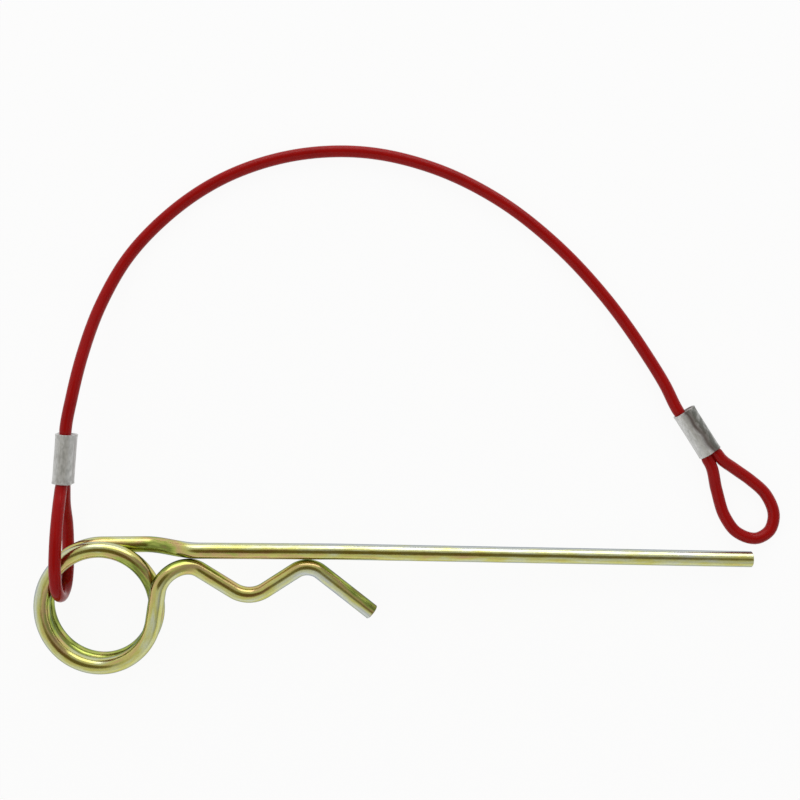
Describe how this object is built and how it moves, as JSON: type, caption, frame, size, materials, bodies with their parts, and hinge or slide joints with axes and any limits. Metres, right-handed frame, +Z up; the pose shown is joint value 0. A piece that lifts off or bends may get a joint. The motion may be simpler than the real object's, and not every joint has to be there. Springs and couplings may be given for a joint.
{
  "type": "spring cotter pin with lanyard",
  "caption": "Bent-wire spring cotter pin with a finger ring, a straight leg and a waved gripping leg, tethered by a coated wire-rope lanyard with a pressed eye at its free end.",
  "frame": {"origin": "middle of the clip's footprint, on the surface that the clip lies on", "axes": "+X along the straight leg towards its tip, +Y towards the lanyard, +Z up from the surface"},
  "size_m": [0.1875, 0.1341, 0.0154],
  "materials": {
    "plated_wire": "glossy yellow chromate zinc plating",
    "coated_rope": "semi-gloss red vinyl over steel strands",
    "ferrule_metal": "dull pressed metal"
  },
  "bodies": {
    "clip": {"spring_clip": "plated_wire"},
    "tether": {"lanyard": "coated_rope", "clip_ferrule": "ferrule_metal", "eye_ferrule": "ferrule_metal"}
  },
  "joints": [
    {"name": "lanyard_swivel", "type": "hinge", "parent": "clip", "child": "tether", "pos_m": [-0.0832, 0.011, 0.0077], "axis": [0, 0, 1], "range_deg": [0, 75]}
  ]
}
